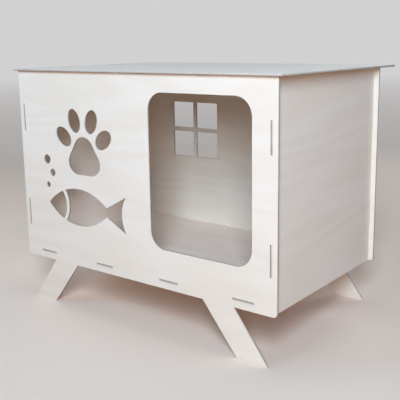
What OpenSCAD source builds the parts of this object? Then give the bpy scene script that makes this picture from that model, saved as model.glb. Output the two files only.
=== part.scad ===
// Flat-pack plywood cat house on splayed legs.
// Millimetres, +Z up, front towards -Y, origin on the ground under the middle of the roof.

/* [Cabin] */
// Width of the front and back panels
cabin_w = 500; // [480:1:640]
// Depth over the outer faces of the front and back panels
cabin_d = 300; // [240:1:420]
// Height of the walls, from their lower edge to the roof
wall_h = 312; // [300:1:400]
// Thickness of every plywood sheet
sheet_t = 3; // [2.5:0.1:6]
// Rounding of the lower corners of the front and back panels
panel_corner_r = 6; // [2:0.5:12]
// Distance of each side panel's outer face inside the ends of the front panel
side_inset = 8; // [5:0.5:16]
// Height of the middle of the floor sheet above the lower edge of the walls
floor_z = 12; // [9:0.5:24]

/* [Legs] */
// Height of the legs below the walls
leg_h = 72.5; // [40:0.5:120]
// Distance of the leg's outer edge from the panel's side, at the wall
leg_root_inset = 69; // [62:1:90]
// Width of the leg at the wall
leg_root_w = 53; // [35:1:70]
// Outward lean of the leg's outer edge, from the wall to the ground
leg_splay = 55; // [0:1:60]
// Width of the foot on the ground
foot_w = 50; // [30:1:65]

/* [Doorway] */
// Width of the doorway
door_w = 177; // [120:1:200]
// Height of the sill above the lower edge of the wall
door_sill = 59; // [30:1:120]
// Height of the wall left above the doorway
door_head = 26; // [10:1:90]
// Distance of the doorway from the right-hand side of the panel
door_side = 39; // [24:1:60]
// Corner radius of the doorway
door_r = 26; // [5:1:50]

/* [Window] */
// Side of each square pane
pane = 48; // [30:1:60]
// Width of the glazing bars
bar_w = 7.5; // [5:0.5:14]
// Distance of the window from the left-hand side of the panel
window_side = 82.5; // [40:0.5:140]
// Height of the window sill above the lower edge of the wall
window_sill = 139; // [60:1:165]

/* [Fretwork] */
// Distance of the fretwork's middle to the right of the middle of the wall beside the doorway
art_shift = 6; // [-20:1:20]
// Wood left standing between neighbouring cut-outs
bridge_w = 6; // [4:0.5:8]
// Height of the middle of the fish above the lower edge of the wall
fish_z = 98; // [75:1:104]
// Length of the fish's body
fish_l = 140; // [110:1:150]
// Height of the fish's body
fish_h = 60; // [40:1:66]
// Distance of the gill behind the nose
gill_x = 42; // [32:1:52]
// Radius of the gill's curve
gill_r = 36; // [24:1:60]
// Length of the tail fin beyond the body
tail_l = 34; // [20:1:44]
// Length of the tail fin that runs into the body
tail_root_l = 20; // [12:1:28]
// Height of the tail fin
tail_h = 58; // [36:1:66]
// Depth of the hollow in the end of the tail fin
tail_hollow = 9; // [4:1:14]
// Diameters of the three bubbles above the nose, from the lowest
bubble_d = [9, 12, 15]; // [6:1:18]
// Wood left between the fish and the paw above it
paw_gap = 24; // [10:1:40]
// Mean radius of the paw pad
pad_r = 30; // [22:0.5:32]
// Width of a toe
toe_w = 26; // [16:1:28]
// Height of a toe
toe_h = 38; // [26:1:42]
// Angle between neighbouring toes
toe_fan = 36; // [33:1:40]

/* [Tabs] */
// Length of the side panels' tabs in the front and back panels
side_tab_l = 44; // [20:1:60]
// Distance of those tabs' middles from the top and bottom of the wall
side_tab_inset = 76; // [50:1:110]
// Length of the floor's tabs
floor_tab_l = 35; // [20:1:60]
// Distance of the outer floor tabs' middles from the sides of the front and back panels
floor_tab_inset = 53.5; // [45:0.5:100]
// Length of the tabs that locate the roof
roof_tab_l = 44; // [20:1:60]
// Distance of those tabs' middles from the outer faces of the front and back panels
roof_tab_inset = 76; // [45:1:85]

/* [Roof] */
// Overhang of the roof past each end of the front panel
roof_side = 7; // [2:0.5:40]
// Overhang of the roof past the front panel
roof_front = 5; // [0:0.5:40]
// Overhang of the roof past the back panel
roof_back = 40; // [0:0.5:80]

/* [Fits] */
// Play on each side of a tab in its slot
tab_gap = 0.1; // [0.05:0.05:0.3]
// Play on each side of a roof tab, so that the roof lifts off freely
roof_gap = 0.3; // [0.2:0.05:0.8]
// Play between the floor and each side panel
floor_gap = 0.3; // [0.1:0.05:1]

/* [Hidden] */
$fn = 96;

ply_front = "#ece6dc";
ply_side = "#e2dacd";
ply_roof = "#dcd6cc";

// Faces of the cabin, front to back
roof_d = roof_front + cabin_d + roof_back;
front_y = roof_front - roof_d / 2;
back_y = front_y + cabin_d;
middle_y = (front_y + back_y) / 2;
inner_d = cabin_d - 2 * sheet_t;
// Middle plane of each side panel, left and right of the middle of the cabin
side_mid_x = cabin_w / 2 - side_inset - sheet_t / 2;
floor_w = 2 * side_mid_x - sheet_t - 2 * floor_gap;
// Places of the tabs along their edges, the floor's four evenly spread
floor_tabs = (cabin_w / 2 - floor_tab_inset) * [-1, -1 / 3, 1 / 3, 1];
side_tabs = [side_tab_inset, wall_h - side_tab_inset];
roof_tabs = (cabin_d / 2 - roof_tab_inset) * [-1, 1];

door_h = wall_h - door_sill - door_head;
// Left edge of the doorway, from the left-hand side of the panel
door_x = cabin_w - door_side - door_w;

// Points on a curve of the fretwork that a formula draws
curve_points = 48;
// Swing of the paw pad's three lobes about its mean radius, and its stretch in width
pad_lobe = 0.13;
pad_stretch = 1.12;
// Middle of the fretwork from the left-hand side of the panel, and of the paw pad above its lower edge
art_x = door_x / 2 + art_shift;
paw_z = fish_z + fish_h / 2 + paw_gap + pad_r * (1 - pad_lobe);

// Stands a drawing made in x and height up on edge, with its front face at y
module upright(y) {
  translate([0, y + sheet_t, leg_h])
    rotate([90, 0, 0])
      linear_extrude(sheet_t)
        children();
}

// Rectangle with its lower left corner at the origin and four rounded corners
module rounded_rect(w, h, r) {
  translate([r, 0])
    square([w - 2 * r, h]);
  translate([0, r])
    square([w, h - 2 * r]);
  for (x = [r, w - r], z = [r, h - r])
    translate([x, z])
      circle(r);
}

// Wall with two splayed legs and rounded lower corners, before anything is cut out of it
module wall_outline() {
  half_w = cabin_w / 2;
  root_x = half_w - leg_root_inset;
  foot_x = root_x + leg_splay;
  right_half = [
    [root_x - leg_root_w, 0],
    [foot_x - foot_w, -leg_h],
    [foot_x, -leg_h],
    [root_x, 0],
    [half_w - panel_corner_r, 0],
    [half_w, panel_corner_r],
    [half_w, wall_h]
  ];
  left_half = [for (i = [len(right_half) - 1 : -1 : 0]) [-right_half[i].x, right_half[i].y]];
  polygon(concat(right_half, left_half));
  for (side = [-1, 1])
    translate([side * (half_w - panel_corner_r), panel_corner_r])
      circle(panel_corner_r);
}

// Slots that take the side panels' and the floor's tabs
module wall_slots() {
  slot_t = sheet_t + 2 * tab_gap;
  for (side = [-1, 1], z = side_tabs)
    translate([side * side_mid_x, z])
      square([slot_t, side_tab_l + 2 * tab_gap], center = true);
  for (x = floor_tabs)
    translate([x, floor_z])
      square([floor_tab_l + 2 * tab_gap, slot_t], center = true);
}

// Reach of the paw pad in a direction given from straight up
function pad_reach(turn) = pad_r * (1 + pad_lobe * cos(3 * turn));

// Oval of the given full width and height
module oval(w, h) {
  polygon([
    for (i = [0 : curve_points - 1])
      let (a = 360 * i / curve_points)
        [w / 2 * cos(a), h / 2 * sin(a)]
  ]);
}

// Soft three-lobed paw pad with four toes fanned round its upper side
module paw() {
  polygon([
    for (i = [0 : curve_points - 1])
      let (a = 360 * i / curve_points)
        pad_reach(a - 90) * [pad_stretch * cos(a), sin(a)]
  ]);
  for (step = [-1.5, -0.5, 0.5, 1.5])
    rotate(step * toe_fan)
      translate([0, pad_stretch * pad_reach(step * toe_fan) + bridge_w + toe_h / 2])
        oval(toe_w, toe_h);
}

// Fish's body with its nose at the origin: two equal bows, parted by a curved gill
module fish_body() {
  bow_r = (pow(fish_l, 2) + pow(fish_h, 2)) / (4 * fish_h);
  difference() {
    intersection_for (side = [-1, 1])
      translate([fish_l / 2, side * (bow_r - fish_h / 2)])
        circle(bow_r);
    translate([gill_x - gill_r, 0])
      difference() {
        circle(gill_r + bridge_w);
        circle(gill_r);
      }
  }
}

// Tail fin whose end is hollowed by an arc from tip to tip
module fish_tail() {
  root = [fish_l - tail_root_l, 0];
  reach = [tail_root_l + tail_l, tail_h / 2];
  hollow_r = (pow(tail_h / 2, 2) + pow(tail_hollow, 2)) / (2 * tail_hollow);
  past_tip = 1.1;
  difference() {
    polygon([root, root + past_tip * reach, root + past_tip * [reach.x, -reach.y]]);
    translate([fish_l + tail_l + hollow_r - tail_hollow, 0])
      circle(hollow_r);
  }
}

// Bubbles that rise from above the fish's nose in a zigzag
module bubbles() {
  rise = max(bubble_d) + bridge_w;
  for (i = [0 : len(bubble_d) - 1])
    translate([(i % 2) * bubble_d[i], fish_h / 2 + i * rise])
      circle(d = bubble_d[i]);
}

// Fretwork of a paw print above a fish, placed from the panel's lower left corner
module fretwork() {
  translate([art_x, paw_z])
    paw();
  translate([art_x - (fish_l + tail_l) / 2, fish_z]) {
    fish_body();
    fish_tail();
    bubbles();
  }
}

// Front wall with legs, doorway, fretwork and slots
module front_panel() {
  color(ply_front)
    upright(front_y)
      difference() {
        wall_outline();
        wall_slots();
        translate([-cabin_w / 2, 0]) {
          translate([door_x, door_sill])
            rounded_rect(door_w, door_h, door_r);
          fretwork();
        }
      }
}

// Back wall with legs, four-pane window and slots
module back_panel() {
  color(ply_front)
    upright(back_y - sheet_t)
      difference() {
        wall_outline();
        wall_slots();
        for (column = [0, 1], row = [0, 1])
          translate([window_side - cabin_w / 2, window_sill] + (pane + bar_w) * [column, row])
            square(pane);
      }
}

// Side wall on the given middle plane, with tabs through the front, the back and the roof
module side_panel(x) {
  color(ply_side)
    translate([x - sheet_t / 2, middle_y, leg_h])
      rotate([90, 0, 90])
        linear_extrude(sheet_t) {
          translate([-inner_d / 2, 0])
            square([inner_d, wall_h]);
          for (z = side_tabs)
            translate([0, z])
              square([cabin_d, side_tab_l], center = true);
          for (y = roof_tabs)
            translate([y - roof_tab_l / 2, 0])
              square([roof_tab_l, wall_h + sheet_t]);
        }
}

module left_side_panel() {
  side_panel(-side_mid_x);
}

module right_side_panel() {
  side_panel(side_mid_x);
}

// Raised floor with tabs through the front and the back
module floor_panel() {
  color(ply_side)
    translate([0, middle_y, leg_h + floor_z - sheet_t / 2])
      linear_extrude(sheet_t) {
        square([floor_w, inner_d], center = true);
        for (x = floor_tabs)
          translate([x, 0])
            square([floor_tab_l, cabin_d], center = true);
      }
}

// Flat roof, slotted where the side panels' tabs come through
module roof_panel() {
  color(ply_roof)
    translate([0, 0, leg_h + wall_h])
      linear_extrude(sheet_t)
        difference() {
          square([cabin_w + 2 * roof_side, roof_d], center = true);
          for (side = [-1, 1], y = roof_tabs)
            translate([side * side_mid_x, middle_y + y])
              square([sheet_t + 2 * roof_gap, roof_tab_l + 2 * roof_gap], center = true);
        }
}

front_panel();
back_panel();
left_side_panel();
right_side_panel();
floor_panel();
roof_panel();
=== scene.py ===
# %% [markdown]
# # A flat-pack cat house in birch plywood
# The real house is six sheets of thin birch plywood, cut by a laser and pushed together: tabs on one sheet
# go through slots in the next. The CAD model already holds every sheet at its real size and place. This
# lesson adds what CAD leaves out: the broken arrises, the smoke beside each cut, the pale veneer with its
# grain, and the toasted edges that show the plies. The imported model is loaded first, as a fixed frame.

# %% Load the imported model
import math

import bmesh
import bpy
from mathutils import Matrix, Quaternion, Vector


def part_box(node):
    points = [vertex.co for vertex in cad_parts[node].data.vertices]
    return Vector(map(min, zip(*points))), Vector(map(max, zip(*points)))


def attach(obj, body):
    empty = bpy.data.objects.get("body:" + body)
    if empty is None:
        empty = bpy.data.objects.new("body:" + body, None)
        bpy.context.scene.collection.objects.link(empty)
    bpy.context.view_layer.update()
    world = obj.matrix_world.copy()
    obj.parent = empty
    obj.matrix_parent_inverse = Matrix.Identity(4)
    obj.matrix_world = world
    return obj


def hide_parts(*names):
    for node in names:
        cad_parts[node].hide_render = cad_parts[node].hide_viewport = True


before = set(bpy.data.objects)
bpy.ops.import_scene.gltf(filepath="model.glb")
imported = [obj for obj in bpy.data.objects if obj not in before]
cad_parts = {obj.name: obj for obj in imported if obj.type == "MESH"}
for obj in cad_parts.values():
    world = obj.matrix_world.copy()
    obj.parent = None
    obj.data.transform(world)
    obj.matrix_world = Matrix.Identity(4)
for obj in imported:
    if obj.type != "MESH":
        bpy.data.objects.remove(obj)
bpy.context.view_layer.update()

MM = 0.001

print("sheets:", ", ".join(sorted(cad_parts)))

# %% [markdown]
# ## From loose triangles to a sheet
# A CAD node arrives as loose triangles, which neither bevel nor inset can work on. A copy is welded into one
# closed shell, and the flat triangles are dissolved into large faces, so that the only edges left are the
# ones that a finger could feel. Modelling each outline again by hand would work too, but it could drift
# from the CAD sizes. The copy can't.

# %% Weld a copy of a CAD sheet
WELD = 0.002 * MM
FLAT = math.radians(0.5)
AXES = X_AXIS, Y_AXIS, Z_AXIS = range(3)


def welded_copy(node):
    """A bmesh of the CAD node with its triangles joined, and its flat ones dissolved into large faces."""
    sheet = bmesh.new()
    sheet.from_mesh(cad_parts[node].data)
    bmesh.ops.remove_doubles(sheet, verts=sheet.verts, dist=WELD)
    bmesh.ops.dissolve_limit(sheet, angle_limit=FLAT, verts=sheet.verts, edges=sheet.edges)
    return sheet


def through_axis(node):
    """The axis that goes through the sheet: the one along which it is thinnest."""
    low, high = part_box(node)
    return min(AXES, key=lambda axis: (high - low)[axis])


AXIS_NAMES = {X_AXIS: "X", Y_AXIS: "Y", Z_AXIS: "Z"}
for name in sorted(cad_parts):
    print(name, "is thinnest along", AXIS_NAMES[through_axis(name)])

# %% [markdown]
# ## The rim and the arris of a cut
# A laser leaves two marks beside its cut. The face is smoked for about a millimetre, and sanding breaks the
# sharp arris. The smoke could be painted by hand, but it follows every outline, so it gets a place of its
# own: the faces are inset by its width, and the narrow ring that this makes carries it. Then the
# right-angled edges get a small round bevel, which catches the light along every edge, as on the real
# thing. The floor sheet is tried first.

# %% Inset the smoked rim and bevel the arris
SMOKE_W = 0.9 * MM
ARRIS_R = 0.22 * MM
ARRIS_STEPS = 2
ARRIS_LEAST = math.radians(40)
FACE_COSINE = 0.8
TRIAL_SHEET = "floor_panel"


def is_veneer(face, axis, least=FACE_COSINE):
    """True if the face lies in the plane of the sheet, or nearly, and not along a cut."""
    return abs(face.normal[axis]) > least


def break_edges(sheet, axis):
    """Insets the sheet's two faces by the smoke's width, bevels its edges and returns the clean faces."""
    clean = sheet.faces.layers.int.new("clean")
    veneer = [face for face in sheet.faces if is_veneer(face, axis)]
    for face in veneer:
        face[clean] = 1
    ring = bmesh.ops.inset_region(
        sheet, faces=veneer, thickness=SMOKE_W, depth=0, use_even_offset=True, use_boundary=True
    )
    for face in ring["faces"]:
        face[clean] = 0
    arrises = [edge for edge in sheet.edges if edge.calc_face_angle(0) > ARRIS_LEAST]
    bmesh.ops.bevel(
        sheet, geom=arrises, offset=ARRIS_R, offset_type="OFFSET", affect="EDGES",
        segments=ARRIS_STEPS, profile=0.5, material=-1, clamp_overlap=True,
    )
    return [face for face in sheet.faces if face[clean] == 1]


trial_axis = through_axis(TRIAL_SHEET)
trial = welded_copy(TRIAL_SHEET)
print(TRIAL_SHEET, "has", len(trial.faces), "faces when it is welded")
trial_clean = break_edges(trial, trial_axis)
print("and", len(trial.faces), "with its edges broken, of which", len(trial_clean), "are clean veneer")

# %% [markdown]
# ## What the finish needs to know
# Two numbers are kept on each point of a sheet, so that a material can follow its shape. One says how smoked
# the point is, 1 at the cut and 0 on the clean face. The other runs from -1 to 1 through the sheet, which
# tells the plies apart on a cut edge. Object coordinates alone couldn't give the first. Each face also gets
# its material, and the flat faces end in a sharp line, so that the small bevels don't shade across them.

# %% Mark the points and the faces
SMOOTH_LIMIT = math.radians(30)
FLAT_COSINE = 0.999
VENEER_SLOT, CUT_SLOT = 0, 1


def mark_points(sheet, axis, clean_faces):
    """Keeps each point's smoke and its place through the sheet, and returns the sheet's thickness."""
    plates = [vert.co[axis] for face in clean_faces for vert in face.verts]
    half = (max(plates) - min(plates)) / 2
    middle = (max(plates) + min(plates)) / 2
    smoke = sheet.verts.layers.float.new("smoke")
    ply = sheet.verts.layers.float.new("ply")
    for vert in sheet.verts:
        vert[smoke] = 1.0
        vert[ply] = (vert.co[axis] - middle) / half
    for face in clean_faces:
        for vert in face.verts:
            vert[smoke] = 0.0
    return 2 * half


def shade_faces(sheet, axis):
    """Gives each face its material slot, and smooth shading that stops where the flat faces end."""
    for face in sheet.faces:
        face.material_index = VENEER_SLOT if is_veneer(face, axis) else CUT_SLOT
        face.smooth = True
    for edge in sheet.edges:
        kinds = {is_veneer(face, axis, FLAT_COSINE) for face in edge.link_faces}
        edge.smooth = edge.calc_face_angle(0) < SMOOTH_LIMIT and len(kinds) == 1


trial_thickness = mark_points(trial, trial_axis, trial_clean)
shade_faces(trial, trial_axis)
print(TRIAL_SHEET, "is", round(trial_thickness / MM, 2), "mm thick")
print("it has", sum(not edge.smooth for edge in trial.edges), "sharp edges")
trial.free()

# %% [markdown]
# ## Colours
# Wood colours are easiest to judge as they look on a screen, from 0 to 255. The renderer works with linear
# light, so each colour goes through the screen's curve once. Guessing linear values straight away would be
# shorter, but nobody can read a pale birch off them.

# %% Screen colours in linear light
SCREEN_FULL = 255
FOOT_END, FOOT_SLOPE = 0.04045, 12.92
CURVE_LIFT, CURVE_POWER = 0.055, 2.4
MIDDLE_GREY = 128


def linear(red, green, blue):
    """A screen colour of 0 to 255 as a linear colour with alpha."""
    def channel(value):
        share = value / SCREEN_FULL
        if share <= FOOT_END:
            return share / FOOT_SLOPE
        return ((share + CURVE_LIFT) / (1 + CURVE_LIFT)) ** CURVE_POWER
    return (channel(red), channel(green), channel(blue), 1.0)


grey_light = linear(MIDDLE_GREY, MIDDLE_GREY, MIDDLE_GREY)[0]
print("screen grey", MIDDLE_GREY, "is", round(grey_light, 3), "in linear light")

# %% [markdown]
# ## One node, one line
# Every finish here is a small tree of nodes: noise, sums, ranges and mixes that end in one shader. Such a
# tree could be drawn by hand in Blender's editor, but then it is hard to repeat for six sheets. These
# helpers build it from code, so that each node is one line: its kind, what goes into it, and its settings.

# %% Node helpers
MIX_SHARE, MIX_FIRST, MIX_SECOND, MIX_RESULT = 0, 6, 7, 2


def add_node(tree, kind, inputs=None, **settings):
    """Adds a shader node, sets it up, and links or fills the inputs given by name or number."""
    made = tree.nodes.new("ShaderNode" + kind)
    for name, value in settings.items():
        setattr(made, name, value)
    for name, value in (inputs or {}).items():
        if isinstance(value, bpy.types.NodeSocket):
            tree.links.new(value, made.inputs[name])
        else:
            made.inputs[name].default_value = value
    return made


def blank_material(name):
    """A new material, its node tree, and the output node that is alone in it."""
    material = bpy.data.materials.new(name)
    material.use_nodes = True
    material.node_tree.nodes.clear()
    return material, material.node_tree, add_node(material.node_tree, "OutputMaterial")


def math_node(tree, operation, first, second=0.0):
    """The result of one sum on a value or socket, or on two."""
    return add_node(tree, "Math", {0: first, 1: second}, operation=operation).outputs[0]


def spread(tree, value, low, high, to_low=0.0, to_high=1.0):
    """A value mapped from low..high to another range, with its ends held."""
    inputs = {"Value": value, "From Min": low, "From Max": high, "To Min": to_low, "To Max": to_high}
    return add_node(tree, "MapRange", inputs).outputs["Result"]


def mix_colours(tree, share, first, second):
    """Two colours or colour sockets mixed, with share of the second."""
    inputs = {MIX_SHARE: share, MIX_FIRST: first, MIX_SECOND: second}
    return add_node(tree, "Mix", inputs, data_type="RGBA").outputs[MIX_RESULT]


node_kinds = [kind for kind in dir(bpy.types) if kind.startswith("ShaderNode")]
print("kinds of shader node to choose from:", len(node_kinds))

# %% [markdown]
# ## The figure of birch
# Birch is peeled from the log in one long sheet, so its figure is not straight stripes: the growth rings are
# cut at a slant and show as wide wandering contours, with fine fibres along the grain and tiny pores. A wave
# texture would give stripes that are too even. Here every part of the figure comes from a noise that is
# stretched along the grain, at four scales: the swell whose level lines are the rings, a slow drift of
# colour, the fibres and the pores.

# %% Board coordinates and stretched noise
FIGURE = {
    "swell": {"length": 550 * MM, "width": 85 * MM, "detail": 1.0},
    "drift": {"length": 300 * MM, "width": 120 * MM, "detail": 1.0},
    "fibre": {"length": 40 * MM, "width": 1.1 * MM, "detail": 3.0},
    "pore": {"length": 6 * MM, "width": 0.45 * MM, "detail": 2.0},
}
FIGURE_ROUGHNESS = 0.55


def board_coordinates(tree, grain, through):
    """Object coordinates put in the order along the grain, across it, and through the sheet."""
    across = next(axis for axis in AXES if axis not in (grain, through))
    place = add_node(tree, "TexCoord").outputs["Object"]
    split = add_node(tree, "SeparateXYZ", {0: place})
    ordered = {0: split.outputs[grain], 1: split.outputs[across], 2: split.outputs[through]}
    return add_node(tree, "CombineXYZ", ordered).outputs[0]


def grain_noise(tree, board, shift, kind):
    """Noise in streaks along the grain, of the size that this kind of figure has."""
    streak = FIGURE[kind]
    scale = (1 / streak["length"], 1 / streak["width"], 1 / streak["width"])
    placed = add_node(tree, "Mapping", {"Vector": board, "Location": shift, "Scale": scale}).outputs[0]
    inputs = {"Vector": placed, "Scale": 1.0, "Detail": streak["detail"], "Roughness": FIGURE_ROUGHNESS}
    return add_node(tree, "TexNoise", inputs).outputs[0]


for kind, streak in FIGURE.items():
    print(kind, "streaks are", round(streak["length"] / streak["width"], 1), "times as long as wide")

# %% [markdown]
# ## The veneer
# Sanded birch is pale and matt, and all its figure stays within a few per cent of one colour. The colour is
# mixed from pale to dark: first rings, fibres and drift, then the pores, and last the tan of the smoke beside
# a cut. A photograph of veneer would be quicker, but it would repeat, and it couldn't follow the cuts. Fibres
# and pores also make a slight bump and change the sheen a little, so that the sheet doesn't look like paper.
# The face that a sheet turns inwards can have colours of its own: painted shade, which browns the shade
# inside.

# %% The veneer material
PALE_FACE = {"wood": linear(241, 234, 224), "ring": linear(233, 223, 208)}
BIRCH_PORE = linear(196, 178, 154)
SMOKE_TAN = linear(184, 166, 146)
LOW_SIDE, HIGH_SIDE = -1.0, 1.0
RINGS_IN_SWELL = 15.0
RING_FROM, RING_TO = 0.1, 0.95
NOISE_LOW, NOISE_HIGH = 0.3, 0.7
PORE_FROM, PORE_TO = 0.64, 0.74
RING_SHARE, FIBRE_SHARE, DRIFT_SHARE = 0.45, 0.35, 0.3
PORE_SHARE, SMOKE_SHARE = 0.35, 0.3
SMOKE_POWER = 2.0
PORE_DEPTH = 0.6
FIBRE_BUMP, FIBRE_HEIGHT = 0.12, 0.1 * MM
SANDED_LEAST, SANDED_MOST = 0.66, 0.78


def ring_figure(tree, board, shift, fibres):
    """How much of the ring colour shows: the rings, the fibres and the slow drift added up."""
    swell = grain_noise(tree, board, shift, "swell")
    contours = math_node(tree, "PINGPONG", math_node(tree, "MULTIPLY", swell, RINGS_IN_SWELL), 1.0)
    rings = math_node(tree, "MULTIPLY", spread(tree, contours, RING_FROM, RING_TO), RING_SHARE)
    drift = grain_noise(tree, board, shift, "drift")
    fibre_share = spread(tree, fibres, NOISE_LOW, NOISE_HIGH, 0.0, FIBRE_SHARE)
    drift_share = spread(tree, drift, NOISE_LOW, NOISE_HIGH, 0.0, DRIFT_SHARE)
    return math_node(tree, "ADD", math_node(tree, "ADD", rings, fibre_share), drift_share)


def birch_veneer(name, grain, through, shift, inner_side, inner_face):
    """Sanded birch veneer, with a pattern of its own from the shift and the given colours inside."""
    material, tree, output = blank_material(name)
    board = board_coordinates(tree, grain, through)
    fibres = grain_noise(tree, board, shift, "fibre")
    pores = spread(tree, grain_noise(tree, board, shift, "pore"), PORE_FROM, PORE_TO)
    smoke = add_node(tree, "Attribute", attribute_name="smoke").outputs["Fac"]
    smoked = math_node(tree, "MULTIPLY", math_node(tree, "POWER", smoke, SMOKE_POWER), SMOKE_SHARE)
    ply = add_node(tree, "Attribute", attribute_name="ply").outputs["Fac"]
    # The inner face takes the given colours; on every sheet but the back they are painted shade that browns
    # the cabin's shade.
    inner = spread(tree, math_node(tree, "MULTIPLY", ply, inner_side), LOW_SIDE, HIGH_SIDE)
    wood = mix_colours(tree, inner, PALE_FACE["wood"], inner_face["wood"])
    ring = mix_colours(tree, inner, PALE_FACE["ring"], inner_face["ring"])
    wood = mix_colours(tree, ring_figure(tree, board, shift, fibres), wood, ring)
    wood = mix_colours(tree, math_node(tree, "MULTIPLY", pores, PORE_SHARE), wood, BIRCH_PORE)
    wood = mix_colours(tree, smoked, wood, SMOKE_TAN)
    relief = math_node(tree, "SUBTRACT", fibres, math_node(tree, "MULTIPLY", pores, PORE_DEPTH))
    bump = add_node(tree, "Bump", {"Height": relief, "Strength": FIBRE_BUMP, "Distance": FIBRE_HEIGHT})
    roughness = spread(tree, fibres, NOISE_LOW, NOISE_HIGH, SANDED_LEAST, SANDED_MOST)
    inputs = {"Base Color": wood, "Roughness": roughness, "Normal": bump.outputs[0]}
    skin = add_node(tree, "BsdfPrincipled", inputs)
    tree.links.new(skin.outputs[0], output.inputs["Surface"])
    return material


print("pale birch in linear light:", [round(channel, 3) for channel in PALE_FACE["wood"][:3]])

# %% [markdown]
# ## Plies on a cut edge
# The cut edge shows three plies: the two outer veneers run one way and the core the other, with a thin line
# of glue between them. The plies could be modelled as three layers, but that takes many thin faces for lines
# less than a fifth of a millimetre wide. Here they are painted from the number that runs through the sheet.

# %% The plies
PLY_OUTER = linear(212, 207, 200)
PLY_CORE = linear(199, 192, 184)
GLUE_LINE = linear(168, 160, 151)
CORE_HALF = 1 / 3
GLUE_HALF = 0.05
GLUE_SHARE = 0.7


def ply_colour(tree, ply):
    """The colour of an edge before the laser toasts it: outer plies, core and glue lines."""
    layer = math_node(tree, "ABSOLUTE", ply)
    in_core = spread(tree, layer, CORE_HALF + GLUE_HALF, CORE_HALF - GLUE_HALF)
    from_glue = math_node(tree, "ABSOLUTE", math_node(tree, "SUBTRACT", layer, CORE_HALF))
    in_glue = spread(tree, from_glue, GLUE_HALF, 0.0, 0.0, GLUE_SHARE)
    plies = mix_colours(tree, in_core, PLY_OUTER, PLY_CORE)
    return mix_colours(tree, in_glue, plies, GLUE_LINE)


print("the core ply is", round(CORE_HALF * trial_thickness / MM, 2), "mm thick")
print("a glue line is", round(GLUE_HALF * trial_thickness / MM, 2), "mm wide")

# %% [markdown]
# ## Toast and scorch
# The laser toasts the plies. Its pulses leave fine ribs that run straight through the sheet, and some patches
# come out browner than others. The side where the beam leaves the wood is scorched, which is why each tab has
# a darker half in its slot. The ribs come from a noise that doesn't change through the sheet. The scorched
# side could be found from the face's place in the room, but the number kept on the mesh turns with the sheet.

# %% The cut edge material
TOAST = linear(150, 139, 128)
SCORCH_AND_SHADOW_COLOUR = linear(99, 91, 85)
RIB_W, RIB_DETAIL = 0.5 * MM, 1.0
PATCH_W, PATCH_DETAIL = 11 * MM, 2.0
PATCH_FROM, PATCH_TO = 0.35, 0.7
TOAST_SHARE = 0.2
SCORCH_AND_SHADOW_SHARE = 0.9
SCORCH_AND_SHADOW_RAMP = 0.6
RIB_BUMP, RIB_HEIGHT = 0.25, 0.1 * MM
TOASTED_ROUGHNESS = 0.72


def toasted_edge(name, through, beam_left, scorch_and_shadow_from):
    """The laser-cut edge of a sheet. The beam left the wood at its low side, -1, or its high side, 1."""
    material, tree, output = blank_material(name)
    place = add_node(tree, "TexCoord").outputs["Object"]
    ply = add_node(tree, "Attribute", attribute_name="ply").outputs["Fac"]
    rib_scale = [0.0 if axis == through else 1 / RIB_W for axis in AXES]
    along_cut = add_node(tree, "Mapping", {"Vector": place, "Scale": rib_scale}).outputs[0]
    rib_inputs = {"Vector": along_cut, "Scale": 1.0, "Detail": RIB_DETAIL}
    ribs = add_node(tree, "TexNoise", rib_inputs).outputs[0]
    patch_inputs = {"Vector": place, "Scale": 1 / PATCH_W, "Detail": PATCH_DETAIL}
    patches = add_node(tree, "TexNoise", patch_inputs).outputs[0]
    rib_toast = spread(tree, ribs, NOISE_LOW, NOISE_HIGH, 0.0, TOAST_SHARE)
    patch_toast = spread(tree, patches, PATCH_FROM, PATCH_TO, 0.0, TOAST_SHARE)
    to_beam_side = math_node(tree, "MULTIPLY", ply, beam_left)
    # The dark band on the beam's side is scorch; on the roof, where it is narrower, it is also a painted
    # shadow line under the roof's edge.
    scorch_and_shadow = spread(tree, to_beam_side, scorch_and_shadow_from, scorch_and_shadow_from + SCORCH_AND_SHADOW_RAMP, 0.0, SCORCH_AND_SHADOW_SHARE)
    toasted = math_node(tree, "ADD", rib_toast, patch_toast)
    wood = mix_colours(tree, toasted, ply_colour(tree, ply), TOAST)
    wood = mix_colours(tree, scorch_and_shadow, wood, SCORCH_AND_SHADOW_COLOUR)
    bump = add_node(tree, "Bump", {"Height": ribs, "Strength": RIB_BUMP, "Distance": RIB_HEIGHT})
    inputs = {"Base Color": wood, "Roughness": TOASTED_ROUGHNESS, "Normal": bump.outputs[0]}
    skin = add_node(tree, "BsdfPrincipled", inputs)
    tree.links.new(skin.outputs[0], output.inputs["Surface"])
    return material


print("ribs in a centimetre of cut: about", round(10 * MM / RIB_W))

# %% [markdown]
# ## The six sheets
# Each sheet was cut from its own place on the board, so each has its own veneer pattern, with the grain level
# on every wall and lengthwise on the floor and the roof. One material for all would be shorter, but then the
# figure would run on from sheet to sheet. The front, the sides and the floor turn a rosier face inwards, and
# the roof's underside is tan: painted shade that keeps the shade in the cabin and under the roof brown. The
# back reaches past the cabin, where its inner face shows too, so it is plain on both sides. The beam scorched
# the inner side of each cut. The roof's edge is dark only along its lowest part: scorch and a painted shadow.

# %% Make a piece of each sheet
BOARD_STEP = Vector((2.3, 1.7, 0.9))
# Where the dark band starts through the sheet: scorch on the house, and scorch plus a painted shadow line on
# the roof.
SCORCH_AND_SHADOW_FROM = {"house": 0.0, "roof": 0.3}
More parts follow.
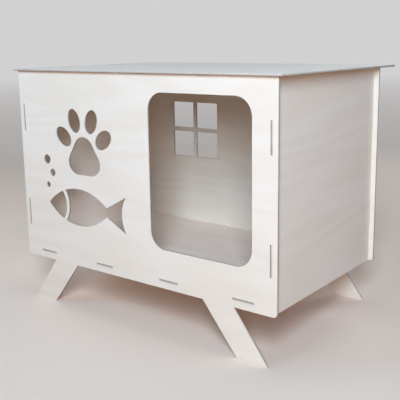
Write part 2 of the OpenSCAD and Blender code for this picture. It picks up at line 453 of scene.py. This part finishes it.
# Painted shade: the rosier inner faces and the tan roof underside darken and brown the shade in the cabin and
# under the roof.
PAINTED_SHADE_INNER_FACE = {"wood": linear(251, 239, 229), "ring": linear(244, 228, 214)}
PAINTED_SHADE_UNDERSIDE = {"wood": linear(222, 204, 188), "ring": linear(215, 195, 176)}
SHEETS = (
    ("front_panel", "house", X_AXIS, HIGH_SIDE, PAINTED_SHADE_INNER_FACE),
    ("back_panel", "house", X_AXIS, LOW_SIDE, PALE_FACE),
    ("left_side_panel", "house", Y_AXIS, HIGH_SIDE, PAINTED_SHADE_INNER_FACE),
    ("right_side_panel", "house", Y_AXIS, LOW_SIDE, PAINTED_SHADE_INNER_FACE),
    ("floor_panel", "house", X_AXIS, HIGH_SIDE, PAINTED_SHADE_INNER_FACE),
    ("roof_panel", "roof", X_AXIS, LOW_SIDE, PAINTED_SHADE_UNDERSIDE),
)


def finish_sheet(node, body, veneer, cut_edge):
    """Makes the finished piece that stands for a CAD sheet, and rides on the sheet's body."""
    axis = through_axis(node)
    sheet = welded_copy(node)
    thickness = mark_points(sheet, axis, break_edges(sheet, axis))
    shade_faces(sheet, axis)
    mesh = bpy.data.meshes.new(node + "_ply")
    sheet.to_mesh(mesh)
    sheet.free()
    mesh.materials.append(veneer)
    mesh.materials.append(cut_edge)
    piece = bpy.data.objects.new(node + "_ply", mesh)
    bpy.context.scene.collection.objects.link(piece)
    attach(piece, body)
    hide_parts(node)
    print(piece.name, "has", len(mesh.polygons), "faces and is", round(thickness / MM, 2), "mm thick")


for place_on_board, (node, body, grain, inner_side, inner_face) in enumerate(SHEETS):
    through = through_axis(node)
    shift = place_on_board * BOARD_STEP
    veneer = birch_veneer(node + "_veneer", grain, through, shift, inner_side, inner_face)
    cut_edge = toasted_edge(node + "_cut_edge", through, inner_side, SCORCH_AND_SHADOW_FROM[body])
    finish_sheet(node, body, veneer, cut_edge)

# %% [markdown]
# ## The floor
# The house stands on a plain pale floor. A curved sweep of paper would hide the horizon, but it would also
# stand in the way of a view from behind. One large flat disc can be seen from all sides.

# %% Lay the floor
FLOOR_R = 12.0
FLOOR_SIDES = 96

floor_mesh = bmesh.new()
bmesh.ops.create_circle(floor_mesh, cap_ends=True, segments=FLOOR_SIDES, radius=FLOOR_R)
floor_data = bpy.data.meshes.new("studio_floor")
floor_mesh.to_mesh(floor_data)
floor_mesh.free()
floor = bpy.data.objects.new("studio_floor", floor_data)
bpy.context.scene.collection.objects.link(floor)
print("the floor is", 2 * FLOOR_R, "m across")

# %% [markdown]
# ## The floor's paint
# Near the house the floor is matt paint that takes shadows. Further out it fades into a dimmer ring, and from
# there it rises to the pale backdrop, so that no horizon cuts through the picture. Light on its way meets a
# browner paint than the eye does, which warms the shade under the house and inside it. One plain colour
# would do for the floor itself, but then it would have to be brown to give that shade.

# %% Paint the floor
FLOOR_PALE = linear(235, 218, 203)
FLOOR_BOUNCE = linear(205, 160, 126)
FLOOR_DIM = linear(172, 169, 167)
BACKDROP_PALE = linear(210, 209, 210)
FADE_FROM, FADE_TO = 0.7, 1.8
RISE_TO = 8.0


def seen_by_eye(tree):
    """1 for a ray that the camera sees, also in a sheen, and 0 for light on its way."""
    path = add_node(tree, "LightPath").outputs
    return math_node(tree, "MAXIMUM", path["Is Camera Ray"], path["Is Glossy Ray"])


floor_paint, floor_tree, floor_output = blank_material("floor_paint")
floor_place = add_node(floor_tree, "TexCoord").outputs["Object"]
floor_reach = add_node(floor_tree, "VectorMath", {0: floor_place}, operation="LENGTH").outputs["Value"]
seen = seen_by_eye(floor_tree)
matt_colour = mix_colours(floor_tree, seen, FLOOR_BOUNCE, FLOOR_PALE)
matt = add_node(floor_tree, "BsdfDiffuse", {"Color": matt_colour}).outputs[0]
rise = spread(floor_tree, floor_reach, FADE_TO, RISE_TO)
haze = mix_colours(floor_tree, rise, FLOOR_DIM, BACKDROP_PALE)
glow = add_node(floor_tree, "Emission", {"Color": haze, "Strength": 1.0}).outputs[0]
far = math_node(floor_tree, "MULTIPLY", spread(floor_tree, floor_reach, FADE_FROM, FADE_TO), seen)
fade = add_node(floor_tree, "MixShader", {0: far, 1: matt, 2: glow}).outputs[0]
floor_tree.links.new(fade, floor_output.inputs["Surface"])
floor_data.materials.append(floor_paint)
print("it dims from", FADE_FROM, "to", FADE_TO, "m and is like the backdrop from", RISE_TO, "m")

# %% [markdown]
# ## Light
# A tall soft window stands in front and to the right. A smaller cool one, closer by on the left, brightens
# the top of the front. A faint warm light, low in front, and a faint blue one on the right tint the shade,
# and two windows behind and on the left keep the hidden sides readable. A sky texture would be quicker, but
# its sides can't be set one by one. The wood is warm and the light is cool, so the front looks almost white,
# and the inside of the cabin, which the light reaches after a few bounces, goes brown.

# %% Window lights
HOUSE_MIDDLE = Vector((0.0, 0.0, 0.2))


def soft_window(name, azimuth, elevation, distance, width, height, level, colour):
    """A flat light in that direction, in degrees. Its level is how bright it makes white that faces it."""
    turn, rise = math.radians(azimuth), math.radians(elevation)
    outward = Vector((math.sin(turn) * math.cos(rise), -math.cos(turn) * math.cos(rise), math.sin(rise)))
    lamp = bpy.data.lights.new(name, "AREA")
    lamp.shape = "RECTANGLE"
    lamp.size = width
    lamp.size_y = height
    lamp.energy = level * (math.pi * distance) ** 2
    lamp.color = colour
    light = bpy.data.objects.new(name, lamp)
    light.location = HOUSE_MIDDLE + distance * outward
    light.rotation_euler = (-outward).to_track_quat("-Z", "Y").to_euler()
    bpy.context.scene.collection.objects.link(light)
    print(name, "shines", round(lamp.energy, 1), "W from", [round(v, 2) for v in light.location])


soft_window(
    "front_window", azimuth=35, elevation=26, distance=2.0, width=0.45, height=1.0,
    level=1.06, colour=(0.71, 0.85, 1.0),
)
soft_window(
    "cool_window", azimuth=-40, elevation=32, distance=1.3, width=0.5, height=0.5,
    level=0.24, colour=(0.46, 0.72, 1.0),
)
soft_window(
    "warm_bounce", azimuth=41, elevation=12, distance=2.2, width=1.2, height=0.4,
    level=0.06, colour=(1.0, 0.55, 0.35),
)
soft_window(
    "right_window", azimuth=115, elevation=20, distance=2.2, width=1.2, height=1.2,
    level=0.08, colour=(0.25, 0.55, 1.0),
)
soft_window(
    "rear_window", azimuth=180, elevation=24, distance=2.4, width=1.4, height=0.8,
    level=0.38, colour=(0.90, 0.94, 1.0),
)
soft_window(
    "left_window", azimuth=275, elevation=26, distance=1.8, width=1.2, height=1.0,
    level=0.26, colour=(0.96, 0.93, 0.92),
)

# %% [markdown]
# ## The room
# A room also gives a little light from everywhere. A bright one would wash out the shade in the cabin, so it
# is very low and warm here, and the windows and the floor do most of the work. The camera and the sheen of
# the wood see the pale backdrop in its place.

# %% Room light and backdrop
ROOM_LIGHT = (0.012, 0.006, 0.003, 1.0)

room = bpy.data.worlds.new("room")
room.use_nodes = True
room_tree = room.node_tree
room_tree.nodes.clear()
room_colour = mix_colours(room_tree, seen_by_eye(room_tree), ROOM_LIGHT, BACKDROP_PALE)
room_glow = add_node(room_tree, "Background", {"Color": room_colour, "Strength": 1.0})
add_node(room_tree, "OutputWorld", {"Surface": room_glow.outputs[0]})
bpy.context.scene.world = room
print("room light:", ROOM_LIGHT[:3])

# %% [markdown]
# ## Camera
# The camera stands where the picture was taken from: a little above the roof, in front and to the right,
# with the slight tilt of a camera held in the hand. It could be placed by eye, but its place and lens were
# found by matching the corners, slots and openings of the house. A small shift keeps the framing of the
# picture.

# %% Camera at the picture's viewpoint
SENSOR_W = 36.0
LENS = 61.9
SHIFT_X, SHIFT_Y = -0.0121, -0.0595
CAMERA_PLACE = Vector((0.6905, -0.8885, 0.4255))
LOOK = Vector((-0.5991, 0.7776, -0.1906))
ROLL = math.radians(-0.76)
LENS_AXIS = Vector((0, 0, 1))

camera_data = bpy.data.cameras.new("camera")
camera_data.sensor_width = SENSOR_W
camera_data.lens = LENS
camera_data.shift_x = SHIFT_X
camera_data.shift_y = SHIFT_Y
camera = bpy.data.objects.new("camera", camera_data)
camera.location = CAMERA_PLACE
camera.rotation_mode = "QUATERNION"
camera.rotation_quaternion = LOOK.to_track_quat("-Z", "Y") @ Quaternion(LENS_AXIS, ROLL)
bpy.context.scene.collection.objects.link(camera)
bpy.context.scene.camera = camera
bpy.context.scene.view_settings.view_transform = "Standard"
print("camera is", round((CAMERA_PLACE - HOUSE_MIDDLE).length, 2), "m from the middle of the house")

# %% [markdown]
